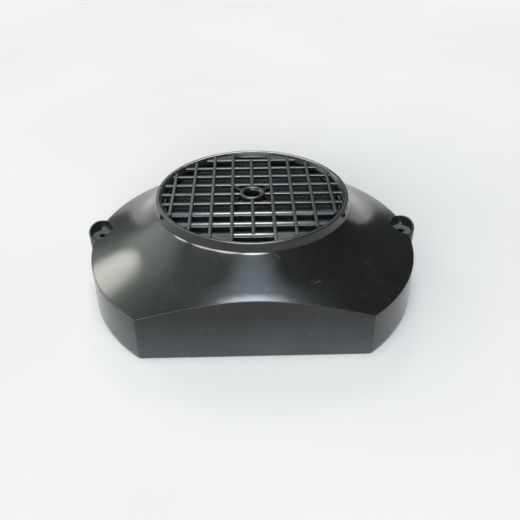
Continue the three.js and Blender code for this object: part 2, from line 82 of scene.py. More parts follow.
# The flare's curve, from the skirt up to the collar: the radius and height of a cubic's four points.
FLARE = ((99.4, 27.4), (79.4, 36.3), (70.5, 39.1), (59.4, 54.4))
COLLAR_RADIUS, COLLAR_TOP = 57.5, 61.4
SHELF_RADIUS, SHELF_ROOT, SHELF_TOP, SHELF_BOTTOM = 52.0, 56.2, 56.2, 53.4
LUG_X, LUG_Y, LUG_RADIUS, LUG_TOP, LUG_HOLE = 97.2, 11.5, 8.2, 31.0, 2.1
POCKET_RADIUS, POCKET_FLOOR, RIM_HEIGHT, RIM_SLOPE = 7.2, 24.0, 28.3, 0.42
SLEEVE_RADIUS, SLEEVE_HOLE, SLEEVE_TOP = 4.0, 2.4, 21.6
PLATE_RADIUS, PLATE_THICKNESS = 97.2, 3.0
PLATE_FLAT = FOOT_FLAT - WALL - 2 * GAP
OUTLET_RADIUS, SEAL_OUTER, SEAL_INNER, SEAL_TOP = 22.0, 26.9, 24.3, 1.4
POST_RADIUS, POST_BORE, POST_CIRCLE, FRONT_POST_X, FRONT_POST_Y = 4.5, 2.1, 86, 40.0, -66.0
BOSS_RADIUS, BOSS_BORE, BOSS_CIRCLE = 3.5, 1.35, 59
RETAINER_FOOT, RETAINER_TOP = 42.3, 44.5
PAPER_FOOT, PAPER_TOP = 8.7, 33.9
# Heights that clear the whole housing, for the shapes that cut through it.
BELOW, ABOVE = -1.0, 70.0


def on_circle(radius, degrees):
    """Places (x, y) on a circle round the axis, at angles from the right."""
    return [(radius * math.cos(math.radians(a)), radius * math.sin(math.radians(a))) for a in degrees]


DIAGONALS = (45, 135, 225, 315)
POSTS = on_circle(POST_CIRCLE, (-15, 50, 130, 195))
POSTS += [(-FRONT_POST_X, FRONT_POST_Y), (FRONT_POST_X, FRONT_POST_Y)]
RETAINER_SCREWS = on_circle(BOSS_CIRCLE, DIAGONALS)

# ---------- mesh helpers ----------


def new_object(name, verts, faces):
    """An object from points in millimetres round the housing's axis."""
    mesh = bpy.data.meshes.new(name)
    places = np.array(verts, float) * MM + np.array(AXIS)
    mesh.from_pydata(places.tolist(), [], faces)
    mesh.update()
    obj = bpy.data.objects.new(name, mesh)
    bpy.context.scene.collection.objects.link(obj)
    return obj


def swept(name, rows, closed=True):
    """A closed surface from rows of points: row i is the section at step i of a full turn.
    An open section starts and ends on the axis of the turn, where its first and last points meet."""
    rows = np.array(rows, float)
    turns, count = rows.shape[:2]
    if closed:
        verts = rows.reshape(-1, 3)
        faces = [
            (
                i * count + j,
                ((i + 1) % turns) * count + j,
                ((i + 1) % turns) * count + (j + 1) % count,
                i * count + (j + 1) % count,
            )
            for i in range(turns)
            for j in range(count)
        ]
        return new_object(name, verts, faces)
    inner = count - 2
    verts = np.vstack([rows[:, 1:-1].reshape(-1, 3), rows[0, :1], rows[0, -1:]])
    first, last = turns * inner, turns * inner + 1
    faces = []
    for i in range(turns):
        k = (i + 1) % turns
        faces.append((first, k * inner, i * inner))
        faces += [
            (i * inner + j, k * inner + j, k * inner + j + 1, i * inner + j + 1)
            for j in range(inner - 1)
        ]
        faces.append((i * inner + inner - 1, k * inner + inner - 1, last))
    return new_object(name, verts, faces)


def rounded(corners, steps=3):
    """A closed or open section from (radius, height, rounding) corners. The ends of an open one have
    a rounding of None."""
    points = []
    count = len(corners)
    for i, (r, z, rounding) in enumerate(corners):
        if not rounding:
            points.append((r, z))
            continue
        here = np.array((r, z))
        before = np.array(corners[i - 1][:2]) - here
        after = np.array(corners[(i + 1) % count][:2]) - here
        reach = min(rounding, 0.48 * np.linalg.norm(before), 0.48 * np.linalg.norm(after))
        start = here + before / np.linalg.norm(before) * reach
        end = here + after / np.linalg.norm(after) * reach
        for k in range(steps + 1):
            t = k / steps
            points.append(tuple((1 - t) ** 2 * start + 2 * t * (1 - t) * here + t * t * end))
    return points


def turned(name, corners, facets=96, x=0.0, y=0.0, steps=3, closed=True):
    """A solid of revolution with rounded corners, standing at x, y. Corners run against the clock:
    up the outside and down the inside."""
    section = rounded(corners, steps)
    rows = [
        [(x + r * math.cos(a), y + r * math.sin(a), z) for r, z in section]
        for a in (TAU * i / facets for i in range(facets))
    ]
    return swept(name, rows, closed)


def disc(name, radius, low, high, x=0.0, y=0.0, facets=48, edge=0.0):
    """A plain round solid, rounded by `edge` at both rims."""
    corners = [(0, low, None), (radius, low, edge), (radius, high, edge), (0, high, None)]
    return turned(name, corners, facets, x, y, closed=False)


def ring(name, outer, inner, low, high, facets, edge):
    """A plain round ring with its four edges rounded."""
    corners = [(outer, low, edge), (outer, high, edge), (inner, high, edge), (inner, low, edge)]
    return turned(name, corners, facets)


def bar(name, section, reach, middle, turn=0.0):
    """A bar that reaches both ways along X from `middle`, turned about Z by `turn`. Its section is a
    loop of (y, z) points that runs against the clock."""
    count = len(section)
    c, s = math.cos(turn), math.sin(turn)
    verts = [
        (middle[0] + c * x - s * y, middle[1] + s * x + c * y, middle[2] + z)
        for x in (-reach, reach)
        for y, z in section
    ]
    faces = [(j, (j + 1) % count, count + (j + 1) % count, count + j) for j in range(count)]
    faces += [tuple(reversed(range(count))), tuple(range(count, 2 * count))]
    return new_object(name, verts, faces)


def block(name, size, middle, turn=0.0, edge=0.3, steps=2):
    """A bar with rounded long edges: size and middle are (x, y, z), turned about Z by `turn`."""
    half_x, half_y, half_z = (s / 2 for s in size)
    edge = min(edge, 0.48 * min(size))
    section = []
    for corner, start in (((1, 1), 0), ((-1, 1), 1), ((-1, -1), 2), ((1, -1), 3)):
        for k in range(steps + 1):
            a = (start + k / steps) * math.pi / 2
            section.append((
                corner[0] * (half_y - edge) + edge * math.cos(a),
                corner[1] * (half_z - edge) + edge * math.sin(a),
            ))
    return bar(name, section, half_x, middle, turn)


def combine(obj, others, operation):
    """obj with each of the others joined on, cut away or kept in common. The others are removed."""
    for other in others:
        step = obj.modifiers.new("step", "BOOLEAN")
        step.operation = operation
        step.solver = "MANIFOLD"
        step.object = other
        graph = bpy.context.evaluated_depsgraph_get()
        made = bpy.data.meshes.new_from_object(obj.evaluated_get(graph))
        obj.modifiers.clear()
        old = obj.data
        obj.data = made
        bpy.data.meshes.remove(old)
        bpy.data.meshes.remove(other.data)
    return obj


def join(obj, *others):
    return combine(obj, others, "UNION")


def cut(obj, *others):
    return combine(obj, others, "DIFFERENCE")


def common(obj, other):
    return combine(obj, [other], "INTERSECT")


# ---------- the cover's outline and wall ----------

CORNER_FOOT, CORNER_TOP, CORNER_LEAST = 4.0, 2.2, 0.8


def outline(angle, z, inset):
    """How far the skirt's wall is from the axis, in the direction `angle` from the front."""
    share = z / SKIRT_HEIGHT
    radius = FOOT_RADIUS + (TOP_RADIUS - FOOT_RADIUS) * share - inset
    flat = FOOT_FLAT + (TOP_FLAT - FOOT_FLAT) * share - inset
    corner = max(CORNER_FOOT + (CORNER_TOP - CORNER_FOOT) * min(share, 1.0) - inset, CORNER_LEAST)
    turn = abs((angle + math.pi) % TAU - math.pi)
    centre_y = flat - corner
    centre_x = math.sqrt((radius - corner) ** 2 - centre_y**2)
    if turn <= math.atan2(centre_x, flat):
        return flat / math.cos(turn)
    if turn >= math.atan2(centre_x, centre_y):
        return radius
    along = centre_x * math.sin(turn) + centre_y * math.cos(turn)
    return along + math.sqrt(along**2 - centre_x**2 - centre_y**2 + corner**2)


def at(angle, r, z):
    """The point at a radius in the direction `angle` from the front."""
    return (r * math.sin(angle), -r * math.cos(angle), z)


def turning_angles(plain, corner_steps, flat_steps):
    """Directions round the housing, closer together at the ends of the front flat."""
    corner_radius, corner_flat = 98.0, 75.0
    middle = math.acos(corner_flat / corner_radius)
    spread = math.radians(2.2)
    inside = np.linspace(0, middle - spread, flat_steps)
    corner = np.linspace(middle - spread, middle + spread, corner_steps)[1:]
    rest = np.linspace(middle + spread, math.pi, plain)[1:]
    half = np.concatenate([inside, corner, rest])
    return list(half) + [TAU - a for a in half[-2:0:-1]]


def flare_curve(inset, samples=400, run_out=0.3):
    """Radii and heights along the flare, moved inwards, and extended past its lower end."""
    a, b, c, d = (np.array(point) for point in FLARE)
    t = np.linspace(-run_out, 1, samples)[:, None]
    point = (1 - t) ** 3 * a + 3 * t * (1 - t) ** 2 * b + 3 * t * t * (1 - t) * c + t**3 * d
    along = 3 * (1 - t) ** 2 * (b - a) + 6 * t * (1 - t) * (c - b) + 3 * t * t * (d - c)
    point = np.where(t < 0, a + 3 * t * (b - a), point)
    along = np.where(t < 0, 3 * (b - a), along)
    along = along / np.linalg.norm(along, axis=1)[:, None]
    outward = np.stack([along[:, 1], -along[:, 0]], 1)
    return point - inset * outward, outward


def wall_and_flare(angle, inset, edge, wall_steps, arc_steps, flare_steps, low):
    """One section of the skirt and flare: up the wall, round the edge and up the flare."""
    curve, outward = flare_curve(inset)
    middle = curve - edge * outward
    gap = [r - (outline(angle, z, inset) - edge) for r, z in middle]
    k = next(i for i in range(len(gap)) if gap[i] <= 0 and middle[i][0] < FOOT_RADIUS)
    k = max(k, 1)
    t = gap[k - 1] / (gap[k - 1] - gap[k]) if gap[k - 1] > gap[k] else 0.0
    centre = middle[k - 1] + t * (middle[k] - middle[k - 1])
    normal = outward[k]
    points = []
    for i in range(wall_steps):
        z = low + (centre[1] - low) * i / wall_steps
        points.append((outline(angle, z, inset), z))
    lean = math.atan2(normal[1], normal[0])
    start_r = outline(angle, centre[1], inset)
    for i in range(arc_steps + 1):
        a = lean * i / arc_steps
        points.append((start_r - edge + edge * math.cos(a), centre[1] + edge * math.sin(a)))
    rest = np.linspace(k, len(curve) - 1, flare_steps + 1)[1:]
    whole = np.arange(len(curve))
    points += [
        (float(np.interp(s, whole, curve[:, 0])), float(np.interp(s, whole, curve[:, 1])))
        for s in rest
    ]
    return points


def edge_radius(angle):
    """The rounding at the top of the skirt: crisp along the front flat, softer round the circle."""
    crisp, extra = 0.24, 0.3
    start, width = math.radians(34), math.radians(12)
    turn = abs((angle + math.pi) % TAU - math.pi)
    share = min(max((turn - start) / width, 0), 1)
    return crisp + extra * share * share * (3 - 2 * share)


def cover_section(angle):
    """The cover's section in one direction: up the outside, over the collar and down the inside."""
    bevel, nick, inner_edge = 0.45, 0.12, 1.0
    foot = outline(angle, 0, 0)
    points = [(foot - bevel, 0.0), (foot - nick, nick)]
    points += wall_and_flare(angle, 0.0, edge_radius(angle), 8, 6, 44, bevel)
    collar_foot, collar_wall = (58.23, 56.05, 1.15), 59.8
    flare_end = (*points.pop(), None)
    points += rounded([flare_end, collar_foot, (COLLAR_RADIUS, collar_wall, None)], 8)
    seat = COLLAR_RADIUS - WALL + SEAM
    points += rounded([
        (COLLAR_RADIUS, collar_wall + 0.1, None),
        (COLLAR_RADIUS, COLLAR_TOP, 1.45),
        (seat, COLLAR_TOP, 0.9),
        (seat, SHELF_TOP, None),
        (SHELF_RADIUS, SHELF_TOP, 0.4),
        (SHELF_RADIUS, SHELF_BOTTOM, 0.4),
        (SHELF_ROOT, SHELF_BOTTOM, None),
    ])
    points += wall_and_flare(angle, WALL, inner_edge, 6, 4, 24, bevel)[::-1]
    points += [(foot - WALL + nick, nick), (foot - WALL + bevel, 0.0)]
    return points


def wall_middle():
    """A solid whose surface runs inside the cover's wall, to end the inner features in."""
    crown, low, edge = 54.0, 1.0, 0.6
    rows = []
    for angle in turning_angles(60, 6, 16):
        section = [(0.0, 0.0), (outline(angle, 0, WALL / 2), 0.0)]
        section += wall_and_flare(angle, WALL / 2, edge, 3, 2, 16, low)
        section += [(0.0, crown)]
        rows.append([at(angle, r, z) for r, z in section])
    return swept("wall_middle", rows, closed=False)


def plate_edge(angle, inset):
    """The base plate's edge: the skirt's inside, less a notch at each lug."""
    reach = PLATE_RADIUS - inset
    dx, dy = math.sin(angle), -math.cos(angle)
    if dy < 0:
        reach = min(reach, (PLATE_FLAT - inset) / -dy)
    clear = LUG_RADIUS + 2 * GAP + inset
    for side in (-1, 1):
        along = side * LUG_X * dx + LUG_Y * dy
        past = along**2 - LUG_X**2 - LUG_Y**2 + clear**2
        if along > 0 and past > 0:
            reach = min(reach, along - math.sqrt(past))
    return reach


def plate_angles():
    """Directions round the base plate, closer together at each lug's notch and each end of the flat."""
    notch, end = math.radians(6.5), 0.03
    plain = np.linspace(0, TAU, 240, endpoint=False)
    lug = math.atan2(LUG_X, -LUG_Y)
    near = np.linspace(lug - notch, lug + notch, 41)
    corner = math.acos(PLATE_FLAT / PLATE_RADIUS)
    ends = np.linspace(corner - end, corner + end, 9)
    both = np.concatenate([plain, near, TAU - near, ends, TAU - ends])
    return sorted(set(round(float(a) % TAU, 5) for a in both))


def edged(name, sections):
    """A ring swept round the base plate's outline: sections holds (inset, height) pairs."""
    rows = [[at(a, plate_edge(a, inset), z) for inset, z in sections] for a in plate_angles()]
    return swept(name, rows)


def lug_shape(side):
    """A lug without its bore: the wall round the pocket, with its sloping rounded rim."""
    facets = 64
    rows = []
    x = side * LUG_X
    for i in range(facets):
        a = TAU * i / facets
        c, s = math.cos(a), math.sin(a)

        def rim(r):
            return min(RIM_HEIGHT + RIM_SLOPE * r * s, LUG_TOP)

        corners = [
            (0, 0, None),
            (LUG_RADIUS, 0, 0.3),
            (LUG_RADIUS, rim(LUG_RADIUS), 0.4),
            (POCKET_RADIUS, rim(POCKET_RADIUS), 0.4),
            (POCKET_RADIUS, POCKET_FLOOR, 0.7),
            (0, POCKET_FLOOR, None),
        ]
        rows.append([(x + r * c, LUG_Y + r * s, z) for r, z in rounded(corners)])
    return swept("lug_shape", rows, closed=False)


def above_rim(side):
    """The space above a lug's sloping rim."""
    facets, radius, height = 64, LUG_RADIUS + 0.4, 30
    middle = np.array((side * LUG_X, LUG_Y, RIM_HEIGHT))
    rise = np.array((0, -RIM_SLOPE, 1)) * height / math.sqrt(1 + RIM_SLOPE**2)
    rows = []
    for i in range(facets):
        a = TAU * i / facets
        foot = middle + radius * np.array((math.cos(a), math.sin(a), RIM_SLOPE * math.sin(a)))
        rows.append([middle, foot, foot + rise, middle + rise])
    return swept("above_rim", rows, closed=False)


def inner_features():
    """The posts, their webs, the screw bosses and the pockets' walls, all ended in the cover's wall."""
    low, web_low, high, web_width, pocket_wall = PLATE_THICKNESS + GAP, 6.0, 60.0, 2.4, 9.4
    parts = []
    for x, y in POSTS:
        parts.append(disc("post", POST_RADIUS, low, high, x, y, 32, 0.3))
        front = y == FRONT_POST_Y
        out = -math.pi / 2 if front else math.atan2(y, x)
        reach = TOP_FLAT + y if front else TOP_RADIUS - POST_CIRCLE
        middle = (x + math.cos(out) * reach / 2, y + math.sin(out) * reach / 2, (web_low + high) / 2)
        parts.append(block("web", (reach, web_width, high - web_low), middle, out, 0.3))
    boss_low = RETAINER_TOP + GAP
    parts += [disc("screw_boss", BOSS_RADIUS, boss_low, high, x, y, 24, 0.25) for x, y in RETAINER_SCREWS]
    parts += [disc("pocket_wall", pocket_wall, 5.6, high, s * LUG_X, LUG_Y, 64) for s in (-1, 1)]
    return common(join(parts[0], *parts[1:]), wall_middle())


def shoulder():
    """The ledge inside the skirt that presses the perimeter seal onto the base plate."""
    inset, bevel, low, high = 4.4, 0.3, 5.6, 7.6
    rows = []
    for a in plate_angles():
        inner = plate_edge(a, inset)
        section = [(plate_edge(a, inset - bevel), low), (inner, low + bevel), (inner, high)]
        section += [(max(outline(a, z, WALL / 2), inner + 1), z) for z in (high, low)]
        rows.append([at(a, r, z) for r, z in reversed(section)])
    return swept("shoulder", rows)


def cover():
    """The cover's moulding: the shell with its inner features, its two lugs and its screw holes."""
    rows = [[at(a, r, z) for r, z in cover_section(a)] for a in turning_angles(190, 15, 60)]
    shell = swept("cover_moulding", rows)
    join(shell, inner_features(), shoulder())
    for side in (-1, 1):
        x = side * LUG_X
        pocket = disc("pocket", POCKET_RADIUS + 0.4, POCKET_FLOOR + 0.4, ABOVE, x, LUG_Y, 64)
        cut(shell, above_rim(side), pocket)
        join(shell, lug_shape(side))
        cut(
            shell,
            disc("lug_hole", LUG_HOLE, BELOW, POCKET_FLOOR + 2, x, LUG_Y, 32),
            disc("sleeve_bore", SLEEVE_RADIUS + GAP, BELOW, SLEEVE_TOP + GAP, x, LUG_Y, 48),
        )
    post_end, boss_start, boss_end = 18, 44, 52
    cut(shell, *[disc("bore", POST_BORE, 0, post_end, x, y, 24) for x, y in POSTS])
    cut(shell, *[disc("bore", BOSS_BORE, boss_start, boss_end, x, y, 20) for x, y in RETAINER_SCREWS])
    return shell


# ---------- grille ----------

RIB_WIDTH, PITCH_X, PITCH_Y, RIBS = 2.2, 11.85, 11.36, 4
LONG_RIB_TOP, CROSS_RIB_TOP = 60.9, 60.3
GRILLE_FOOT, RING_TOP, RING_INNER, BEVEL_FOOT = SHELF_TOP + GAP, 61.0, 53.0, 58.6


def front_rib(lean, drop):
    """The section of a cross rib near the front: its top leans forward, and its front edge slopes down
    to a foot that stands further forward."""
    half, low, foot = RIB_WIDTH / 2, -3.4, -1.95
    return rounded([
        (half, 0, 0.3), (-half, -lean, 0.12), (foot, -lean - drop, 0.15), (foot, low, 0.2), (half, low, 0.2),
    ])


def plain_rib():
    half, low = RIB_WIDTH / 2, -2.2
    return rounded([(half, 0, 0.35), (-half, 0, 0.35), (-half, low, 0.2), (half, low, 0.2)])


def long_rib(i, reach):
    """The rib that runs front to back, i pitches to the right. The middle one ends at the last cross
    ribs."""
    depth, edge = 3.0, 0.55
    length = math.sqrt(reach**2 - (abs(i) * PITCH_X + RIB_WIDTH / 2) ** 2) if i else RIBS * PITCH_Y
    middle = (i * PITCH_X, 0, LONG_RIB_TOP - depth / 2)
    return block("rib", (2 * length, RIB_WIDTH, depth), middle, math.pi / 2, edge, 4)


def cross_rib(i, reach):
    """The rib that runs across, i pitches behind the middle."""
    lean = 0.1 if i == -RIBS else 0.17
    drop = 0.9 if i == -2 else 1.05
    section = front_rib(lean, drop) if i < -1 else plain_rib()
    length = math.sqrt(reach**2 - (abs(i) * PITCH_Y + RIB_WIDTH / 2) ** 2)
    return bar("rib", section, length, (0, i * PITCH_Y, CROSS_RIB_TOP))


def land(side, reach):
    """The flat between a last cross rib and the ring, open between the two ribs next to the middle."""
    beyond, deep = 130, 20
    middle = RIBS * PITCH_Y - beyond / 2
    return cut(
        disc("land", reach, GRILLE_FOOT, CROSS_RIB_TOP, facets=160),
        block("away", (beyond, beyond, deep), (0, side * middle, BEVEL_FOOT), 0, 0),
        block("away", (2 * PITCH_X, beyond, deep), (0, 0, BEVEL_FOOT), 0, 0),
    )


def grille():
    """The round grille: its ring, nine ribs each way, the boss and the stud's hole."""
    outer = COLLAR_RADIUS - WALL
    body = turned("grille_moulding", [
        (outer, GRILLE_FOOT, 0.3), (outer, RING_TOP, 0.1), (outer - 0.25, RING_TOP, 0.1),
        (RING_INNER, BEVEL_FOOT, 0.4), (RING_INNER, GRILLE_FOOT, 0.3),
    ], 160)
    reach = outer - 0.15
    bars = []
    for i in range(-RIBS, RIBS + 1):
        bars += [long_rib(i, reach), cross_rib(i, reach)]
    gusset_length, gusset_width, gusset_height = 2 * math.hypot(PITCH_X, PITCH_Y), 1.6, 1.7
    for turn in (math.pi / 4, -math.pi / 4):
        size = (gusset_length, gusset_width, gusset_height)
        bars.append(block("gusset", size, (0, 0, BEVEL_FOOT - gusset_height / 2), turn, 0.3))
    join(body, *bars)
    join(body, land(-1, reach), land(1, reach))
    hole, mouth, boss, sleeve_radius, boss_foot, shoulder_height = 4.65, 5.6, 7.6, 6.6, 47.5, 57.4
    join(body, turned("boss", [
        (boss, shoulder_height, 0.3), (boss, RING_TOP, 0.7), (mouth, RING_TOP, 0.5),
        (hole, RING_TOP - 1, 0.3), (hole, boss_foot, 0.3), (sleeve_radius, boss_foot, 0.4),
        (sleeve_radius, shoulder_height, 0.3),
    ], 64))
    shaved, low, high = hole - 0.01, 40, 63
    return cut(body, turned("stud_hole", [
        (0, low, None), (shaved, low, None), (shaved, RING_TOP - 1.05, 0.3), (mouth, RING_TOP, None),
        (mouth, high, None), (0, high, None),
    ], 64, closed=False))


# ---------- pieces under the cover ----------


def foam():
    """A foam disc with an uneven, open-celled surface."""
    inner, outer, low, high, turns = 8.0, 51.4, RETAINER_TOP + GAP, 56.1, 260
    loop = [(r, high) for r in np.linspace(outer - 0.8, inner + 0.5, 44)]
    loop += [(inner, z) for z in np.linspace(high - 0.6, low + 0.6, 8)]
    loop += [(r, low) for r in np.linspace(inner + 0.5, outer - 0.8, 44)]
    loop += [(outer, z) for z in np.linspace(low + 0.8, high - 0.8, 9)]
    rows = []
    for i in range(turns):
        a = TAU * i / turns
        row = []
        for r, z in loop:
            place = Vector((r * math.cos(a), r * math.sin(a), z))
            pit = abs(noise.noise(place * 0.9)) * 0.5 + abs(noise.noise(place * 2.3)) * 0.35
            depth = pit + 0.25 + 0.25 * noise.noise(place * 0.06)
            if z in (high, low):
                z += -depth if z == high else depth
            else:
                r += depth if r == inner else -depth
            row.append((r * math.cos(a), r * math.sin(a), z))
        rows.append(row)
    return swept("foam_disc", rows)


def retainer():
    """The spoked frame that holds the foam up, with an ear for each of its screws."""
    low, high = RETAINER_FOOT, RETAINER_TOP
    body = ring("retainer_frame", 55.5, 50, low, high, 120, 0.5)
    parts = [ring("mid_ring", 29, 27, low, high, 96, 0.4), disc("hub", 9.5, 41, high, edge=0.5)]
    spoke = (102, 2, high - low)
    parts += [block("spoke", spoke, (0, 0, (low + high) / 2), i * math.pi / 4, 0.4) for i in range(4)]
    parts += [disc("ear", 3.8, low, high, x, y, 32, 0.4) for x, y in RETAINER_SCREWS]
    join(body, *parts)
    cut(body, disc("bore", 5.2, BELOW, ABOVE))
    return cut(body, *[disc("hole", BOSS_BORE, BELOW, ABOVE, x, y, 20) for x, y in RETAINER_SCREWS])


def base_pan():
    """The base plate, with the outlet's neck, a rib that centres the element, and its holes."""
    top, edge, nick = PLATE_THICKNESS, 0.5, 0.13
    rim = [(60, 0), (30, 0), (8, 0), (edge, 0), (nick, nick), (0, edge)]
    rim += [(inset, top - z) for inset, z in reversed(rim)]
    rows = [
        [(0, 0, 0)] + [at(a, plate_edge(a, inset), z) for inset, z in rim] + [(0, 0, top)]
        for a in plate_angles()
    ]
    body = swept("base_pan", rows, closed=False)
    neck_top, flared = 12.0, OUTLET_RADIUS + 0.8
    join(
        body,
        ring("neck", 24.5, 21, top / 2, neck_top, 120, 0.7),
        ring("centring_rib", 36.7, 34.7, top / 2, 7, 140, 0.6),
    )
    cut(
        body,
        turned("outlet", [
            (0, BELOW, None), (OUTLET_RADIUS, BELOW, None), (OUTLET_RADIUS, neck_top - 0.6, 0.5),
            (flared, neck_top + 0.2, 0.3), (flared, neck_top + 2, None), (0, neck_top + 2, None),
        ], 120, closed=False),
        ring("groove", SEAL_OUTER + GAP, SEAL_INNER - GAP, BELOW, SEAL_TOP + GAP, 120, 0.3),
    )
    stud_circle, stud_hole, head = 30.6, 2.3, 5.4
    cut(body, *[disc("stud", stud_hole, BELOW, 5, x, y, 32) for x, y in on_circle(stud_circle, DIAGONALS)])
    for x, y in POSTS:
        cut(body, turned("countersink", [
            (0, BELOW, None), (head, BELOW, None), (POST_BORE, 2.6, None), (POST_BORE, 5, None), (0, 5, None),
        ], 40, x, y, closed=False))
    return body


def perimeter_gasket():
    low, high = PLATE_THICKNESS + GAP, 5.3
    profile = [(0.3, 3.9), (0.45, 3.45), (0.9, low), (2.7, low), (3.15, 3.45), (3.3, 3.9)]
    profile += [(3.3, 4.6), (2.9, 4.85), (2.4, high), (1.2, high), (0.7, 4.85), (0.3, 4.6)]
    return edged("perimeter_gasket", profile[::-1])


def outlet_ring():
    return ring("outlet_ring", SEAL_OUTER, SEAL_INNER, 0.15, SEAL_TOP, 120, 0.5)


PLEATS, PLEAT_OUTER, PLEAT_INNER, PAPER = 92, 63.4, 43.0, 0.45


def pleated_paper():
    """Folded filter paper: a zigzag wall with rounded folds, slightly uneven from fold to fold."""
    bend_width, dip, tight, wide = 0.544, 0.22, 0.35, 2.2
    outer_face, inner_face = [], []
    for i in range(PLEATS):
        for part, bend in [(part, bend) for part in (0, 1) for bend in (-bend_width, 0, bend_width)]:
            step = (i + part / 2) * TAU / PLEATS
            step += 0.0035 * noise.noise(Vector((i * 0.9, part * 3.1, 0)))
            sag = dip if bend else 0
            r = PLEAT_INNER + PAPER + sag if part else PLEAT_OUTER - sag
            angle = step + bend / r
            outer_face.append((r * math.cos(angle), r * math.sin(angle)))
            angle = step + bend * (wide if part else tight) / r
            inner_face.append(((r - PAPER) * math.cos(angle), (r - PAPER) * math.sin(angle)))
    heights = np.linspace(PAPER_FOOT, PAPER_TOP, 5)
    rows = []
    for outer, inner in zip(outer_face, inner_face):
        rows.append([(*outer, z) for z in heights] + [(*inner, z) for z in heights[::-1]])
    return swept("pleated_paper", rows)


def core_tube():
    body = ring("core_tube", 41, 40.1, PAPER_FOOT, PAPER_TOP, 144, 0.2)
    window, middle = (120, 8, 17.2), (0, 0, (PAPER_FOOT + PAPER_TOP) / 2)
    for i in range(6):
        cut(body, block("window", window, middle, (2 * i + 1) * math.pi / 12, 1.6, 4))
    return body


def element_ring():
    outer, inner, waist, low, high = 65, 38.5, 64.2, PLATE_THICKNESS + GAP, PAPER_FOOT - GAP
    return turned("element_foot_ring", [
        (outer, low, 0.6), (outer, 4.4, 0.3), (waist, 4.9, 0.3), (waist, 5.6, 0.3), (outer, 6.1, 0.3),
        (outer, high, 0.9), (inner, high, 0.9), (inner, low, 0.9),
        (47, low, 0.4), (48, low + 0.6, 0.4), (50, low + 0.6, 0.4), (51, low, 0.4),
    ], 180)


def element_cap():
    outer, inner, low, high, sunk = 65, 8.3, PAPER_TOP + GAP, 38.8, 38.2
    return turned("element_head_cap", [
        (outer, low, 0.9), (outer, high, 1.4), (61.5, high, 0.5), (60.6, sunk, 0.5), (14.5, sunk, 0.5),
        (13.6, high, 0.5), (inner, high, 0.3), (inner, low, 0.6),
    ], 180)


def grommet():
    waist, flange, bore, low, cap_top, top = 8, 11, 4.3, PAPER_TOP + GAP, 39.1, 40.4
    return turned("grommet_ring", [
        (waist, low, 0.4), (waist, cap_top, 0.2), (flange, cap_top, 0.3), (flange, top, 0.5),
        (bore, top, 0.4), (bore, low, 0.4),
    ], 72)


def sleeve(name, side):
    return turned(name, [
        (SLEEVE_RADIUS, 0, 0.25), (SLEEVE_RADIUS, SLEEVE_TOP, 0.25),
        (SLEEVE_HOLE, SLEEVE_TOP, 0.3), (SLEEVE_HOLE, 0, 0.3),
    ], 56, side * LUG_X, LUG_Y)


def screw(name, x, y, bottom, head, head_height, shank, tip, countersunk):
    """A screw that points up, with a cross recess in its head and a thread on its shank."""
    top = bottom + head_height
    if countersunk:
        corners = [(0, bottom, None), (head, bottom, 0.2), (head, bottom + 0.3, 0.1), (shank, top, 0.1)]
    else:
        corners = [
            (0, bottom, None), (head * 0.6, bottom, 0.5), (head, bottom + 0.7, 0.5),
            (head, top, 0.15), (shank, top, 0.1),
        ]
    z, pitch, root = top + 0.8, 0.55 * shank, 0.74 * shank
    while z + pitch < tip - shank * 0.9:
        corners += [(root, z, None), (shank, z + pitch / 2, None)]
        z += pitch
    corners += [(root, z, None), (shank * 0.35, tip, 0.1), (0, tip, None)]
    body = turned(name, corners, 32, x, y, closed=False, steps=2)
    recess = (head * 0.95, head / 4.2, head_height)
    for turn in (0.4, 0.4 + math.pi / 2):
        cut(body, block("recess", recess, (x, y, bottom), turn, 0.12))
    return body


# ---------- materials ----------


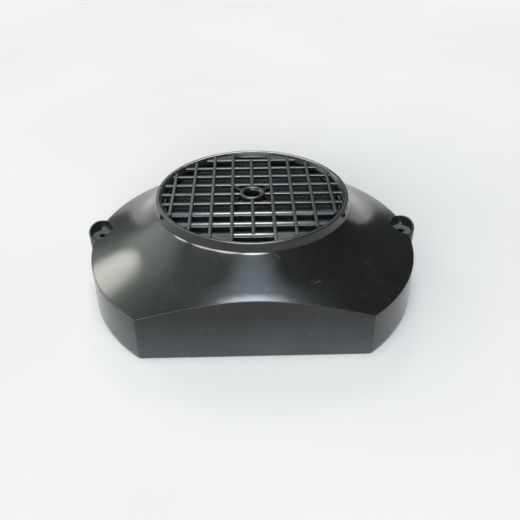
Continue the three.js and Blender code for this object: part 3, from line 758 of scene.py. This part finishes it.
class Nodes:
    """A small builder for a material's node tree."""

    def __init__(self, name):
        self.material = bpy.data.materials.new(name)
        self.material.use_nodes = True
        self.tree = self.material.node_tree
        self.shader = self.tree.nodes["Principled BSDF"]
        self.place = self.add("ShaderNodeTexCoord").outputs["Object"]

    def add(self, kind, **values):
        node = self.tree.nodes.new(kind)
        for name, value in values.items():
            setattr(node, name, value)
        return node

    def link(self, source, target):
        self.tree.links.new(source, target)

    def scaled(self, scale, turn=(0, 0, 0)):
        """The place on the object, turned and then scaled (in steps to the metre)."""
        node = self.add("ShaderNodeMapping", vector_type="TEXTURE")
        node.inputs["Rotation"].default_value = turn
        scales = scale if hasattr(scale, "__len__") else (scale,) * 3
        node.inputs["Scale"].default_value = [1 / s for s in scales]
        self.link(self.place, node.inputs["Vector"])
        return node.outputs["Vector"]

    def noise(self, scale, detail=3.0, roughness=0.55, turn=(0, 0, 0), distortion=0.0):
        node = self.add("ShaderNodeTexNoise")
        node.inputs["Scale"].default_value = 1
        node.inputs["Detail"].default_value = detail
        node.inputs["Roughness"].default_value = roughness
        node.inputs["Distortion"].default_value = distortion
        self.link(self.scaled(scale, turn), node.inputs["Vector"])
        return node.outputs["Fac"]

    def cells(self, scale):
        """The distance to the middle of the nearest cell."""
        node = self.add("ShaderNodeTexVoronoi", feature="F1")
        node.inputs["Scale"].default_value = 1
        self.link(self.scaled(scale), node.inputs["Vector"])
        return node.outputs["Distance"]

    def upward(self, source):
        """The Z part of a place or a direction."""
        node = self.add("ShaderNodeSeparateXYZ")
        self.link(source, node.inputs["Vector"])
        return node.outputs["Z"]

    def ramp(self, source, low, high, start=0.0, end=1.0, shape="SMOOTHSTEP"):
        """source from low..high to start..end, held at the ends."""
        node = self.add("ShaderNodeMapRange", interpolation_type=shape)
        for name, value in (("From Min", low), ("From Max", high), ("To Min", start), ("To Max", end)):
            node.inputs[name].default_value = value
        self.link(source, node.inputs["Value"])
        return node.outputs["Result"]

    def math(self, operation, a, b):
        node = self.add("ShaderNodeMath", operation=operation)
        for socket, value in zip(node.inputs, (a, b)):
            if isinstance(value, (int, float)):
                socket.default_value = value
            else:
                self.link(value, socket)
        return node.outputs["Value"]

    def mix(self, share, a, b):
        """Colour a where share is 0 and b where it is 1."""
        node = self.add("ShaderNodeMix", data_type="RGBA")
        self.link(share, node.inputs[0])
        for socket, value in ((node.inputs[6], a), (node.inputs[7], b)):
            if isinstance(value, tuple):
                socket.default_value = (*value, 1)
            else:
                self.link(value, socket)
        return node.outputs[2]

    def bump(self, height, distance, strength=1.0, under=None):
        node = self.add("ShaderNodeBump")
        node.inputs["Distance"].default_value = distance
        node.inputs["Strength"].default_value = strength
        self.link(height, node.inputs["Height"])
        if under is not None:
            self.link(under, node.inputs["Normal"])
        return node.outputs["Normal"]

    def finish(self, colour=None, roughness=None, normal=None, **fixed):
        for name, value in fixed.items():
            self.shader.inputs[name.replace("_", " ")].default_value = value
        for name, source in (("Base Color", colour), ("Roughness", roughness), ("Normal", normal)):
            if source is not None:
                self.link(source, self.shader.inputs[name])
        return self.material


def scratches(n, wide, long, threshold, turns):
    """Thin marks: noise drawn out along one direction, in patches of its own, for each turn."""
    total = None
    for turn in turns:
        marks = n.ramp(n.noise((wide, long, long), 1.0, 0.5, turn, 0.35), threshold, threshold + 0.05)
        marks = n.math("MULTIPLY", marks, n.ramp(n.noise(42, 2, 0.5, turn), 0.57, 0.66))
        total = marks if total is None else n.math("MAXIMUM", total, marks)
    return total


# SCUFF is the pale colour of scuffs. The other two are painted light: a bluish painted reflection on the
# skirt and a painted pool of light on the pockets' floors.
SCUFF, SKIRT_PAINTED_REFLECTION, POCKET_FLOOR_PAINTED_LIGHT = (0.2, 0.205, 0.205), (0.125, 0.15, 0.17), (0.07, 0.072, 0.068)


def painted_skirt_and_floor_light(n, base, skirt_reflection_share, clouds, wear):
    """Painted light: a bluish painted reflection of the floor that grows towards the foot of the skirt, and a
    painted pool of light on the floors of the lugs' pockets.
    """
    height = n.upward(n.place)
    facing_up = n.upward(n.add("ShaderNodeNewGeometry").outputs["Normal"])
    # Painted reflection of the floor: lighter towards the bottom of the skirt, varied a little by the cloudy
    # tone.
    skirt = n.ramp(height, (SKIRT_HEIGHT + 1) * MM, 0.0, 0.0, skirt_reflection_share, "LINEAR")
    skirt = n.math("MULTIPLY", skirt, n.ramp(clouds, 0.1, 0.7, 0.75, 1.0))
    base = n.mix(skirt, base, SKIRT_PAINTED_REFLECTION)
    # Painted light: a painted pool of light on the upward-facing floors of the lugs' pockets, broken up by
    # the wear pattern.
    full, none = (POCKET_FLOOR + 1.2) * MM, (POCKET_FLOOR + 1.8) * MM
    ledge = n.math("MULTIPLY", n.ramp(facing_up, 0.93, 0.99), n.ramp(height, full, none, 1.0, 0.0))
    ledge = n.math("MULTIPLY", ledge, n.ramp(wear, 0.3, 0.6, 0.6, 1.0))
    return n.mix(ledge, base, POCKET_FLOOR_PAINTED_LIGHT)


def black_plastic(name, dark, light, smooth, rough, level, scuffs, dust_and_painted_light=0.0):
    """Moulded plastic: a faint grain, cloudy wear in its gloss, and pale scuffs and scratches."""
    n = Nodes(name)
    clouds = n.noise(22, 4, 0.6)
    wear = n.noise(70, 5, 0.62)
    turns = [(0.2, 0, 0.5), (0, 0.3, 2.1), (1.1, 0.2, 1.2), (0.5, 0.9, 2.8)]
    marks = scratches(n, 1900, 95, 0.69, turns)
    ticks = n.ramp(n.noise(520, 2, 0.5), 0.72, 0.78)
    ticks = n.math("MULTIPLY", ticks, n.ramp(n.noise(45, 2, 0.5, (1, 2, 0)), 0.52, 0.66))
    pale = n.math("MULTIPLY", n.math("MAXIMUM", marks, ticks), scuffs)
    haze = n.math("MULTIPLY", n.ramp(wear, 0.52, 0.8), 0.08 * scuffs)
    base = n.mix(n.ramp(clouds, 0.35, 0.7), dark, light)
    base = n.mix(n.math("ADD", pale, haze), base, SCUFF)
    # Painted light: a painted reflection down the skirt and a painted pool of light on the lugs' pockets'
    # floors.
    if dust_and_painted_light:
        base = painted_skirt_and_floor_light(n, base, dust_and_painted_light, clouds, wear)
    gloss = n.ramp(n.math("ADD", clouds, n.math("MULTIPLY", wear, 0.6)), 0.6, 1.05, smooth, rough)
    gloss = n.math("ADD", gloss, n.math("MULTIPLY", pale, 0.3))
    grain = n.bump(n.noise(2600, 2, 0.6), 0.00002, 0.35)
    waves = n.bump(n.noise(95, 2, 0.5), 0.0002, 0.25, grain)
    scored = n.bump(n.math("MULTIPLY", marks, -1.0), 0.00003, 0.15, waves)
    return n.finish(base, gloss, scored, Specular_IOR_Level=level)


def foam_material():
    n = Nodes("foam")
    pores = n.cells(950)
    fine = n.cells(1900)
    base = n.mix(n.ramp(pores, 0.15, 0.6), (0.004, 0.004, 0.005), (0.016, 0.017, 0.02))
    base = n.mix(n.ramp(n.noise(60, 4), 0.5, 0.8), base, (0.03, 0.03, 0.033))
    height = n.math("ADD", pores, n.math("MULTIPLY", fine, 0.5))
    return n.finish(base, n.ramp(fine, 0, 1, 0.85, 1.0), n.bump(height, 0.0006, 0.9), Specular_IOR_Level=0.15)


def rubber_material():
    n = Nodes("rubber")
    dust_and_painted_light = n.ramp(n.noise(160, 5, 0.65), 0.5, 0.78)
    base = n.mix(dust_and_painted_light, (0.011, 0.011, 0.012), (0.045, 0.044, 0.042))
    gloss = n.ramp(n.noise(60), 0.3, 0.7, 0.55, 0.8)
    return n.finish(base, gloss, n.bump(n.noise(1400, 3), 0.00004, 0.6), Specular_IOR_Level=0.35)


def urethane_material():
    n = Nodes("urethane")
    tone = n.ramp(n.noise(40, 4, 0.6), 0.3, 0.7)
    base = n.mix(tone, (0.4, 0.085, 0.02), (0.5, 0.135, 0.035))
    base = n.mix(n.ramp(n.noise(230, 5, 0.7), 0.55, 0.8), base, (0.2, 0.07, 0.03))
    gloss = n.ramp(n.noise(90), 0.3, 0.7, 0.42, 0.6)
    return n.finish(
        base, gloss, n.bump(n.noise(700, 3), 0.0001, 0.5),
        Subsurface_Weight=0.12, Subsurface_Scale=0.003, Specular_IOR_Level=0.4,
    )


def paper_material():
    n = Nodes("filter_paper")
    fibres = n.noise((1800, 1800, 300), 4, 0.7)
    base = n.mix(n.ramp(fibres, 0.3, 0.7), (0.6, 0.47, 0.26), (0.78, 0.66, 0.42))
    base = n.mix(n.ramp(n.noise(55, 5, 0.65), 0.5, 0.85), base, (0.45, 0.35, 0.2))
    dots = n.ramp(n.cells(420), 0.0, 0.45, 1, 0)
    height = n.math("ADD", fibres, n.math("MULTIPLY", dots, 0.5))
    gloss = n.ramp(fibres, 0.2, 0.8, 0.8, 0.95)
    return n.finish(base, gloss, n.bump(height, 0.00012, 0.7), Specular_IOR_Level=0.25)


def steel_material(name, colour, warm):
    n = Nodes(name)
    brushed = n.noise((2600, 2600, 120), 3, 0.6)
    tone = n.ramp(n.noise(120, 5, 0.65), 0.35, 0.75)
    base = n.mix(tone, colour, warm)
    base = n.mix(n.ramp(n.noise(420, 4, 0.7), 0.62, 0.8), base, (0.22, 0.2, 0.17))
    gloss = n.ramp(n.math("ADD", brushed, n.noise(200, 3)), 0.7, 1.3, 0.22, 0.48)
    return n.finish(base, gloss, n.bump(brushed, 0.00001, 0.7), Metallic=1.0)


def floor_material():
    n = Nodes("floor")
    base = n.mix(n.ramp(n.noise(3, 3), 0.3, 0.7), (0.35, 0.33, 0.318), (0.366, 0.345, 0.333))
    return n.finish(base, None, None, Roughness=1.0, Specular_IOR_Level=0.0)


# The cover's plastic carries painted light: a painted reflection on the skirt and a painted pool of light on
# the pockets' floors.
COVER = black_plastic(
    "cover_plastic", (0.0032, 0.0036, 0.0032), (0.0055, 0.006, 0.0057),
    smooth=0.1, rough=0.18, level=0.5, scuffs=0.09, dust_and_painted_light=0.13,
)
GRILLE = black_plastic(
    "grille_plastic", (0.005, 0.0054, 0.0049), (0.008, 0.0086, 0.008),
    smooth=0.1, rough=0.2, level=0.5, scuffs=0.08,
)
INNER = black_plastic(
    "inner_plastic", (0.016, 0.017, 0.018), (0.026, 0.027, 0.028),
    smooth=0.34, rough=0.5, level=0.45, scuffs=0.2,
)
FOAM, RUBBER = foam_material(), rubber_material()
URETHANE, PAPER_LOOK = urethane_material(), paper_material()
STEEL = steel_material("plated_steel", (0.62, 0.62, 0.6), (0.6, 0.56, 0.46))
DARK_STEEL = steel_material("core_steel", (0.5, 0.5, 0.49), (0.55, 0.52, 0.45))

# ---------- the pieces, on their bodies ----------


def settle(piece, body, material, slot, *nodes, sharp=38):
    """Gives a piece its material and smooth faces, and puts it on its body for its CAD nodes."""
    mesh = piece.data
    mesh.materials.clear()
    mesh.materials.append(material)
    mesh.shade_smooth()
    mesh.set_sharp_from_angle(angle=math.radians(sharp))
    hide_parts(*nodes)
    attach(piece, body)
    return piece


settle(cover(), "cover", COVER, "cover_plastic", "cover_shell", sharp=32)
settle(grille(), "cover", GRILLE, "grille_plastic", "intake_grille", sharp=34)
foam_disc = settle(foam(), "cover", FOAM, "foam", "prefilter_foam", sharp=60)
settle(retainer(), "cover", INNER, "inner_plastic", "foam_retainer")
settle(base_pan(), "base", INNER, "inner_plastic", "base_plate")
settle(perimeter_gasket(), "base", RUBBER, "rubber", "perimeter_seal")
settle(outlet_ring(), "base", RUBBER, "rubber", "outlet_seal")
settle(pleated_paper(), "element", PAPER_LOOK, "filter_paper", "element_media", sharp=50)
settle(core_tube(), "element", DARK_STEEL, "plated_steel", "element_core")
settle(element_ring(), "element", URETHANE, "urethane", "element_bottom_seal", sharp=60)
settle(element_cap(), "element", URETHANE, "urethane", "element_top_cap", sharp=60)
settle(grommet(), "element", RUBBER, "rubber", "stud_grommet")
for side, word in ((-1, "left"), (1, "right")):
    settle(sleeve(f"sleeve_{word}", side), "cover", STEEL, "plated_steel", f"lug_sleeve_{word}")
for i, (x, y) in enumerate(RETAINER_SCREWS, 1):
    made = screw(
        f"frame_screw_{i}", x, y, bottom=40.2, head=2.9, head_height=1.8, shank=1.05, tip=51.3,
        countersunk=False,
    )
    settle(made, "cover", STEEL, "plated_steel", f"retainer_screw_{i}")
for i, (x, y) in enumerate(POSTS, 1):
    made = screw(
        f"pan_screw_{i}", x, y, bottom=0.2, head=3.8, head_height=2.0, shank=1.8, tip=17.0,
        countersunk=True,
    )
    settle(made, "base", STEEL, "plated_steel", f"base_screw_{i}")

# ---------- floor and light ----------

FLOOR_REACH, FLOOR_SQUARES, FLOOR_DROP = 6.0, 24, 0.0002
floor_mesh = bpy.data.meshes.new("floor")
lines = [FLOOR_REACH * (2 * i / FLOOR_SQUARES - 1) for i in range(FLOOR_SQUARES + 1)]
count = len(lines)
squares = [j * count + i for j in range(FLOOR_SQUARES) for i in range(FLOOR_SQUARES)]
floor_mesh.from_pydata(
    [(x, y, -FLOOR_DROP) for y in lines for x in lines],
    [],
    [(k, k + 1, k + count + 1, k + count) for k in squares],
)
floor_mesh.materials.append(floor_material())
floor = bpy.data.objects.new("floor", floor_mesh)
bpy.context.scene.collection.objects.link(floor)

world = bpy.data.worlds.new("studio")
bpy.context.scene.world = world
bpy.context.scene.view_settings.view_transform = "Standard"
world.use_nodes = True
tree = world.node_tree
tree.nodes.clear()
# On the world, these coordinates are the direction in which a ray leaves.
direction = tree.nodes.new("ShaderNodeTexCoord").outputs["Generated"]


def soft_light(azimuth, elevation, inner, outer, colour, strength):
    """A round soft light in the room, seen from the object at an azimuth from the rear towards the
    right, full within `inner` degrees and gone at `outer`."""
    a, e = math.radians(azimuth), math.radians(elevation)
    dot = tree.nodes.new("ShaderNodeVectorMath")
    dot.operation = "DOT_PRODUCT"
    tree.links.new(direction, dot.inputs[0])
    dot.inputs[1].default_value = (math.sin(a) * math.cos(e), math.cos(a) * math.cos(e), math.sin(e))
    share = tree.nodes.new("ShaderNodeMapRange")
    share.interpolation_type = "SMOOTHSTEP"
    share.inputs["From Min"].default_value = math.cos(math.radians(outer))
    share.inputs["From Max"].default_value = math.cos(math.radians(inner))
    tree.links.new(dot.outputs["Value"], share.inputs["Value"])
    scale = tree.nodes.new("ShaderNodeVectorMath")
    scale.operation = "SCALE"
    scale.inputs[0].default_value = [c * strength for c in colour]
    tree.links.new(share.outputs["Result"], scale.inputs["Scale"])
    return scale.outputs["Vector"]


def added(a, b):
    node = tree.nodes.new("ShaderNodeVectorMath")
    node.operation = "ADD"
    tree.links.new(a, node.inputs[0])
    tree.links.new(b, node.inputs[1])
    return node.outputs["Vector"]


WARM, CREAM, ROOM = (1.0, 0.98, 0.88), (1.0, 0.98, 0.93), (0.9, 1.0, 0.96)
COOL, SKY, PALE = (0.71, 0.87, 1.0), (0.82, 0.91, 1.0), (0.9, 0.94, 1.0)
# Azimuth, elevation, inner and outer radius in degrees, colour and strength.
LIGHTS = [
    (180, 88, 6, 18, SKY, 17.0),
    (180, 82, 8, 30, SKY, 1.3),
    (180, 38, 0, 24, COOL, 1.1),
    (180, 52, 0, 24, COOL, 1.1),
    (180, 65, 0, 25, COOL, 1.3),
    (180, 17, 6, 17, PALE, 26.0),
    (-47, 30, 2, 12, WARM, 6.6),
    (-68, 18, 4, 34, ROOM, 1.5),
    (-100, 45, 40, 85, ROOM, 0.62),
    (-150, 12, 6, 20, CREAM, 16.0),
    (-124, 9, 5, 15, CREAM, 14.0),
    (-96, 6, 4, 12, CREAM, 14.0),
    (0, 43, 2, 6, CREAM, 26.0),
    (-20, 34, 5, 17, ROOM, 1.2),
    (-3, 27, 5, 15, ROOM, 0.7),
    (18, 33, 4, 14, ROOM, 0.4),
]
room = None
for light in LIGHTS:
    glow = soft_light(*light)
    room = glow if room is None else added(room, glow)
lit = tree.nodes.new("ShaderNodeBackground")
tree.links.new(room, lit.inputs["Color"])
# The camera sees a plain pale wall in place of the lights.
wall = tree.nodes.new("ShaderNodeBackground")
wall.inputs["Color"].default_value = (0.85, 0.85, 0.85, 1)
base_light = tree.nodes.new("ShaderNodeBackground")
base_light.inputs["Color"].default_value = (0.08, 0.085, 0.07, 1)
both = tree.nodes.new("ShaderNodeAddShader")
tree.links.new(lit.outputs[0], both.inputs[0])
tree.links.new(base_light.outputs[0], both.inputs[1])
seen = tree.nodes.new("ShaderNodeLightPath")
choice = tree.nodes.new("ShaderNodeMixShader")
tree.links.new(seen.outputs["Is Camera Ray"], choice.inputs["Fac"])
tree.links.new(both.outputs[0], choice.inputs[1])
tree.links.new(wall.outputs[0], choice.inputs[2])
tree.links.new(choice.outputs[0], tree.nodes.new("ShaderNodeOutputWorld").inputs["Surface"])
